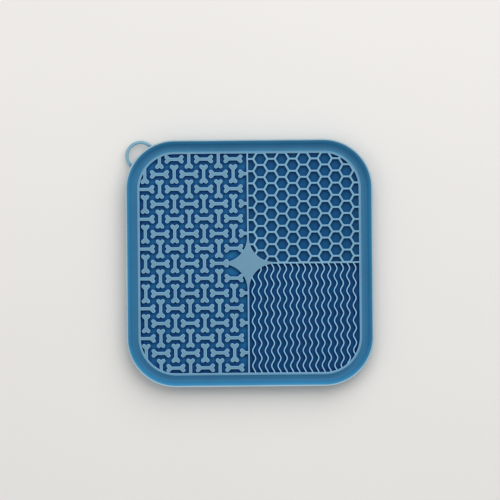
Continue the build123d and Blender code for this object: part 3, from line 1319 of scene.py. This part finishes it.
@dataclass
class Comb:
    """Walls round hexagon cells in the upper right quarter."""

    sizes: MatSizes
    opening: float = 0.0083
    pitch_x: float = 0.00869
    pitch_y: float = 0.00987
    start_x: float = 0.00186
    start_y: float = 0.00032
    cell_round: float = 0.0006
    mouth_round: float = 0.00042
    mouth_turn: float = 72.0
    mouth_overrun: float = 0.00004
    mouth_steps: int = 3
    cell_steps: int = 2
    columns: int = 13
    rows: int = 12
    columns_before: int = 1
    rows_below: int = 2

    def plug_loops(self) -> list[list[Vector]]:
        """A cell's hollow with a flared mouth.

        Returns:
            The loops from the floor to above the walls' tops.
        """
        half_turn = HEXAGON_TURN / 2
        inner = (self.opening / 2 - self.cell_round) / math.cos(math.radians(half_turn))
        cell: list[Point] = []
        for side in range(HEXAGON_SIDES):
            turn = HEXAGON_TURN * side
            centre = arc((0, 0), inner, turn, turn, 1)[0]
            cell += arc(centre, self.cell_round, turn - half_turn, turn + half_turn, self.cell_steps)
        top = self.sizes.pattern_face
        loops = [at_height(moved_outline(cell, self.sizes.wall_slope), self.sizes.floor_top)]
        for step in range(self.mouth_steps + 1):
            angle = math.radians(self.mouth_turn * step / self.mouth_steps)
            flare = self.mouth_round * (1 - math.cos(angle))
            height = top - self.mouth_round * (1 - math.sin(angle))
            loops.append(at_height(moved_outline(cell, -flare), height))
        past = top + self.mouth_overrun
        flare += (past - height) * math.tan(angle)
        return loops + [at_height(moved_outline(cell, -flare), past)]

    def tree(self) -> PieceTree:
        """A tree that sinks staggered cells into a block.

        Returns:
            The tree.
        """
        tree = PieceTree("comb_cells")
        rows = tree.size("Rows")
        column, row = tree.column_and_row(rows)
        across = tree.sum("SUBTRACT", column, tree.size("Columns before"))
        raised = tree.sum("FLOORED_MODULO", across, 2.0)
        up = tree.sum("SUBTRACT", row, tree.size("Rows below"))
        up = tree.sum("MULTIPLY_ADD", raised, HALF_STEP, up)
        x = tree.sum("MULTIPLY_ADD", across, tree.size("Pitch across"), tree.size("First X"))
        y = tree.sum("MULTIPLY_ADD", up, tree.size("Pitch up"), tree.size("First Y"))
        points = tree.points(tree.sum("MULTIPLY", tree.size("Columns"), rows), x, y)
        cells = tree.real(tree.repeated(points, {"Instance": tree.shape("Cell")}))
        tree.finish(tree.carved("DIFFERENCE", {"Mesh 1": tree.shape("Block"), "Mesh 2": cells}))
        return tree

    def build(self, finish: bpy.types.Material) -> bpy.types.Object:
        """Makes the comb.

        Args:
            finish: Its material.

        Returns:
            The finished piece.
        """
        mesh = self.tree().make(
            "hexagon_comb",
            {
                "Rows": float(self.rows),
                "Rows below": float(self.rows_below),
                "Columns": float(self.columns),
                "Columns before": float(self.columns_before),
                "Pitch up": self.pitch_y,
                "Pitch across": self.pitch_x,
                "First X": self.sizes.centre_x + self.start_x,
                "First Y": self.start_y,
                "Cell": link_object("cell_shape", shell_mesh("cell_shape", self.plug_loops())),
                "Block": zone_block(self.sizes, Zone.COMB, self.sizes.pattern_face),
                "Finish": finish,
            },
        )
        return carry(piece_object("hexagon_comb", mesh, Blending.FLAT_TOPPED), ["hex_comb"])


@dataclass
class WaveRibs:
    """Wavy ribs side by side, all in step, in the lower right quarter."""

    sizes: MatSizes
    width: float = 0.0010
    pitch: float = 0.00511
    start: float = 0.0042
    period: float = 0.01205
    swing: float = 0.0012
    first_crest: float = 0.0169
    top_round: float = 0.0003
    round_steps: int = 3
    steps_in_period: int = 14

    def section(self) -> list[Point]:
        """A rib's section with a rounded top.

        Returns:
            Points across and up, all round.
        """
        half = self.width / 2
        low = self.sizes.pattern_foot - self.sizes.foot_depth
        high = self.sizes.pattern_face
        foot = half + self.sizes.wall_slope
        corners = [(foot, low, 0.0), (half, high, self.top_round)]
        corners += [(-half, high, self.top_round), (-foot, low, 0.0)]
        return rounded_path(corners, self.round_steps)

    def tree(self) -> PieceTree:
        """A tree that sweeps one wavy rib, repeats it and cuts the row to its zone.

        Returns:
            The tree.
        """
        tree = PieceTree("wavy_ribs")
        period = tree.size("Period")
        line = tree.node(
            "GeometryNodeCurvePrimitiveLine",
            {
                "Start": tree.place(0.0, tree.sum("MULTIPLY", tree.size("Length"), -1.0), 0.0),
                "End": tree.place(0.0, period, 0.0),
            },
        )
        inputs = {"Curve": line.outputs[0], "Count": tree.size("Steps", "Int")}
        fine = tree.node("GeometryNodeResampleCurve", inputs)
        place = tree.node("GeometryNodeInputPosition", {}).outputs[0]
        y = tree.node("ShaderNodeSeparateXYZ", {0: place}).outputs["Y"]
        waves = tree.sum("DIVIDE", tree.sum("ADD", y, tree.size("First crest")), period)
        lean = tree.sum("COSINE", tree.sum("MULTIPLY", waves, 2 * math.pi))
        offset = tree.place(tree.sum("MULTIPLY", lean, tree.size("Swing")), 0.0, 0.0)
        wavy = tree.node("GeometryNodeSetPosition", {"Geometry": fine.outputs[0], "Offset": offset})
        rib = tree.node(
            "GeometryNodeCurveToMesh",
            {"Curve": wavy.outputs[0], "Profile Curve": tree.shape("Section"), "Fill Caps": True},
        )
        x = tree.sum("MULTIPLY_ADD", tree.index(), tree.size("Pitch"), tree.size("First X"))
        points = tree.points(tree.size("Ribs", "Int"), x, 0.0)
        row = tree.repeated(points, {"Instance": rib.outputs[0]})
        tree.finish(tree.joined([tree.within(row, "Zone"), tree.shape("Floor")]))
        return tree

    def build(self, finish: bpy.types.Material) -> bpy.types.Object:
        """Makes all ribs.

        Args:
            finish: Their material.

        Returns:
            The finished piece.
        """
        sizes = self.sizes
        length = sizes.half_side
        nodes = named_nodes("wave_rib_")
        mesh = self.tree().make(
            "wave_ribs",
            {
                "Period": self.period,
                "Length": length,
                "Steps": math.ceil(length / self.period * self.steps_in_period),
                "First crest": self.first_crest,
                "Swing": self.swing,
                "Section": section_curve("rib_section", self.section(), closed=True),
                "Pitch": self.pitch,
                "First X": sizes.centre_x + self.start,
                "Ribs": len(nodes),
                "Zone": zone_block(sizes, Zone.RIBS, sizes.lip_top),
                "Floor": zone_block(sizes, Zone.RIBS, sizes.floor_top),
                "Finish": finish,
            },
        )
        return carry(piece_object("wave_ribs", mesh, Blending.FLAT_TOPPED), nodes)


@dataclass
class HangingLoop:
    """The half ring on the upper left corner, with feet that flow into the rim."""

    sizes: MatSizes
    radius: float = 0.0124
    band: float = 0.0027
    section_round: float = 0.0010
    foot_turn: float = 9.0
    foot_swell: float = 0.45
    foot_reach: float = 14.0
    bend_start: float = -0.0012
    bend_end: float = 0.0030
    steps: int = 56
    round_steps: int = 4

    def place(self, across: float, out: float, up: float) -> Vector:
        """A point near the mat's corner.

        Args:
            across: The distance along the corner.
            out: The distance from the centre of the corner's rounding, outwards.
            up: The height.

        Returns:
            The point.
        """
        centre = self.sizes.half_side - self.sizes.corner_radius
        diagonal = math.sqrt(0.5)
        return Vector((diagonal * (across - out) - centre, diagonal * (across + out) + centre, up))

    def section(self, thickness: float) -> list[Point]:
        """A rounded bar's section.

        Args:
            thickness: The bar's height.

        Returns:
            Points round the section, outwards and upwards.
        """
        half_band = self.band / 2
        half_height = thickness / 2
        start = (half_band, 0.0, 0.0)
        signs = ((1, 1), (-1, 1), (-1, -1), (1, -1))
        corners = [(x * half_band, y * half_height, self.section_round) for x, y in signs]
        return rounded_path([start, *corners, start], self.round_steps)[:-1]

    def bar_loops(self) -> list[list[Vector]]:
        """The bent bar, thicker towards its feet.

        Returns:
            Its sections from one foot to the other.
        """
        low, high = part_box(LOOP_BODY)
        middle_height = (low.z + high.z) / 2
        ring_reach = (self.sizes.corner_radius - self.radius) * math.sqrt(2)
        mean = self.radius - self.band / 2
        section = self.section(high.z - low.z)
        loops = []
        for step in range(self.steps + 1):
            degrees = -self.foot_turn + (180 + 2 * self.foot_turn) * step / self.steps
            past_foot = min(degrees, 180 - degrees) + self.foot_turn
            near = max(0.0, 1 - past_foot / self.foot_reach)
            swell = 1 + self.foot_swell * near * near
            turn = math.radians(degrees)
            loop = []
            for outwards, upwards in section:
                reach = mean + outwards * swell
                up = middle_height + upwards
                loop.append(self.place(reach * math.cos(turn), ring_reach + reach * math.sin(turn), up))
            loops.append(loop)
        return loops

    def build(self, finish: bpy.types.Material) -> bpy.types.Object:
        """Makes the loop.

        Args:
            finish: Its material.

        Returns:
            The finished piece.
        """
        mesh = shell_mesh("hanging_loop", self.bar_loops())
        mesh.materials.append(finish)
        piece = piece_object("hanging_loop", mesh, Blending.ROUND)
        out = self.place(0, 1, 0) - self.place(0, 0, 0)
        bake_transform(piece)
        return stand_in(piece, [LOOP_BODY])


@dataclass
class SuctionCups:
    """Shallow bells on short necks under the sheet."""

    sizes: MatSizes
    neck_radius: float = 0.0050
    neck_height: float = 0.0010
    shoulder_drop: float = 0.0006
    lip_width: float = 0.0008
    lip_height: float = 0.0006
    hollow_height: float = 0.0018
    neck_round: float = 0.0007
    lip_round: float = 0.00025
    seam: float = 0.000005
    segments: int = 48
    bell_steps: int = 8
    round_steps: int = 3

    def section(self, radius: float, height: float) -> list[Point]:
        """Half of a cup's section, from the middle of its top to the middle of its hollow.

        Args:
            radius: The lip's radius.
            height: The cup's height.

        Returns:
            Distance from the axis and height of each point.
        """
        shoulder = (self.neck_radius, height - self.neck_height)
        lip = (radius, self.lip_height)
        middle = ((shoulder[0] + lip[0]) / 2, (shoulder[1] + lip[1] - self.shoulder_drop) / 2)
        top = height + self.sizes.foot_depth
        corners = [(0.0, top, 0.0), (self.neck_radius, top, 0.0), (*shoulder, self.neck_round)]
        corners += [(x, z, 0.0) for x, z in curve_between(shoulder, middle, lip, self.bell_steps)]
        inside = radius - self.lip_width
        corners += [(*lip, self.lip_round), (radius, 0.0, self.lip_round), (inside, 0.0, 0.0)]
        for step in range(1, self.bell_steps + 1):
            share = 1 - step / self.bell_steps
            corners.append((inside * share, self.hollow_height * (1 - share * share), 0.0))
        return rounded_path(corners, self.round_steps)

    def tree(self) -> PieceTree:
        """A tree that turns a section round an axis.

        Returns:
            The tree.
        """
        tree = PieceTree("cup_lathe")
        inputs = {"Resolution": tree.size("Segments", "Int"), "Radius": tree.size("Radius")}
        circle = tree.node("GeometryNodeCurvePrimitiveCircle", inputs)
        inputs = {"Curve": circle.outputs[0], "Profile Curve": tree.shape("Section")}
        turned = tree.node("GeometryNodeCurveToMesh", inputs)
        inputs = {"Geometry": turned.outputs[0], "Distance": tree.size("Seam")}
        closed = tree.node("GeometryNodeMergeByDistance", inputs)
        inputs = {"Geometry": closed.outputs[0], "Translation": tree.size("Centre", "Vector")}
        tree.finish(tree.node("GeometryNodeTransform", inputs).outputs[0])
        return tree

    def build(self, finish: bpy.types.Material) -> list[bpy.types.Object]:
        """Makes every cup.

        Args:
            finish: Their material.

        Returns:
            The finished pieces.
        """
        tree = self.tree()
        pieces = []
        for node in named_nodes("suction_cup_"):
            low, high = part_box(node)
            radius = (high.x - low.x) / 2
            centre = Vector(((low.x + high.x) / 2, (low.y + high.y) / 2, 0))
            section = self.section(radius, high.z - low.z)
            name = node.replace("suction_cup", "cup_bell")
            mesh = tree.make(
                name,
                {
                    "Segments": self.segments,
                    "Radius": radius,
                    "Section": section_curve("cup_section", [(r - radius, z) for r, z in section], False),
                    "Seam": self.seam,
                    "Centre": centre,
                    "Finish": finish,
                },
            )
            close_and_turn(mesh)
            piece = piece_object(name, mesh, Blending.ROUND)
            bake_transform(piece)
            pieces.append(stand_in(piece, [node]))
        return pieces


@dataclass(frozen=True)
class SoftLamp:
    """A square soft lamp that looks at the mat."""

    name: str
    place: tuple[float, float, float]
    side: float
    power: float

    def build(self) -> bpy.types.Object:
        """Makes the lamp.

        Returns:
            The lamp's object.
        """
        lamp = bpy.data.lights.new(self.name, "AREA")
        lamp.size = self.side
        lamp.energy = self.power
        made = link_object(self.name, lamp)
        made.location = self.place
        made.rotation_euler = (-Vector(self.place)).to_track_quat("-Z", "Y").to_euler()
        return made


@dataclass
class Studio:
    """The pale floor, the soft light and the camera in front of the face."""

    sizes: MatSizes
    floor_half: float = 6.0
    floor_colour: Colour = (0.80, 0.775, 0.74)
    floor_shade: Colour = (0.76, 0.735, 0.70)
    floor_cloud_scale: float = 3.0
    floor_roughness: float = 0.8
    sky: Colour = (0.50, 0.51, 0.52)
    lens: float = 200.0
    sensor: float = 36.0
    view_width: float = 0.4037
    view_shift_x: float = 0.0004
    view_shift_y: float = 0.0106
    view_roll: float = -0.52
    lamps: tuple[SoftLamp, ...] = (
        SoftLamp("key_lamp", (0.45, 1.05, 1.25), 2.0, 25.0),
        SoftLamp("left_lamp", (-0.90, 0.10, 1.30), 1.1, 3.0),
    )

    def build(self) -> None:
        """Makes the floor, the lamps, the sky and the camera."""
        self.floor()
        for lamp in self.lamps:
            lamp.build()
        world = bpy.data.worlds.new("soft_sky")
        world.use_nodes = True
        world.node_tree.nodes["Background"].inputs["Color"].default_value = (*self.sky, 1)
        bpy.context.scene.world = world
        bpy.context.scene.view_settings.view_transform = "Standard"
        self.camera()

    def floor(self) -> None:
        """Makes the pale floor that the mat lies on."""
        half = self.floor_half
        corners = [(-half, -half, 0), (half, -half, 0), (half, half, 0), (-half, half, 0)]
        mesh = bpy.data.meshes.new("pale_floor")
        mesh.from_pydata(corners, [], [(0, 1, 2, 3)])
        material = bpy.data.materials.new("pale_floor")
        material.use_nodes = True
        tree = NodeTree(material.node_tree)
        place = tree.node("ShaderNodeTexCoord", {}).outputs["Object"]
        cloud = tree.node("ShaderNodeTexNoise", {"Vector": place, "Scale": self.floor_cloud_scale})
        ramp = tree.node("ShaderNodeValToRGB", {"Fac": cloud.outputs["Fac"]})
        for mark, colour in zip(ramp.color_ramp.elements, (self.floor_shade, self.floor_colour)):
            mark.color = (*colour, 1)
        shader = material.node_tree.nodes["Principled BSDF"]
        tree.fill(shader, {"Roughness": self.floor_roughness, "Base Color": ramp.outputs["Color"]})
        mesh.materials.append(material)
        link_object("pale_floor", mesh)

    def camera(self) -> None:
        """Makes the camera, square to the face."""
        camera = bpy.data.cameras.new("face_camera")
        camera.lens = self.lens
        camera.sensor_width = self.sensor
        made = link_object("face_camera", camera)
        distance = self.view_width * self.lens / self.sensor
        made.location = (self.view_shift_x, self.view_shift_y, self.sizes.lip_top + distance)
        made.rotation_euler = (0, 0, math.radians(self.view_roll))
        bpy.context.scene.camera = made


def main() -> None:
    """Builds every sub-assembly and the studio."""
    logging.basicConfig(level=logging.INFO, format="%(name)s %(message)s")
    sizes = MatSizes.from_frame()
    colours = Palette()
    bones = BoneField(sizes)
    comb = Comb(sizes)
    ribs = WaveRibs(sizes)
    star = StarAndDividers(sizes)
    broad_ends = (colours.floor, colours.top)
    divider_ends = (colours.floor, colours.comb)
    comb_ends = (colours.comb_floor, colours.comb)
    rib_ends = (colours.rib_floor, colours.rib)
    broad = pattern_finish(sizes, colours, "broad_silicone", broad_ends, bones.edge_round).material()
    divider_finish = pattern_finish(sizes, colours, "divider_silicone", divider_ends, star.edge_round)
    comb_finish = pattern_finish(sizes, colours, "comb_silicone", comb_ends, comb.mouth_round)
    # The comb's cells get a lighter painted shade in their hollows.
    comb_finish = replace(comb_finish, hollow_shade_tint=colours.comb_hollow_shade)
    rib_finish = pattern_finish(sizes, colours, "rib_silicone", rib_ends, ribs.top_round)
    Tray(sizes).build(colours)
    star.build(broad, divider_finish.material())
    bones.build(broad)
    comb.build(comb_finish.material())
    ribs.build(rib_finish.material())
    HangingLoop(sizes).build(bare_finish(sizes, "loop_silicone", colours.loop).material())
    SuctionCups(sizes).build(bare_finish(sizes, "cup_silicone", colours.back).material())
    Studio(sizes).build()


if __name__ == "__main__":
    main()
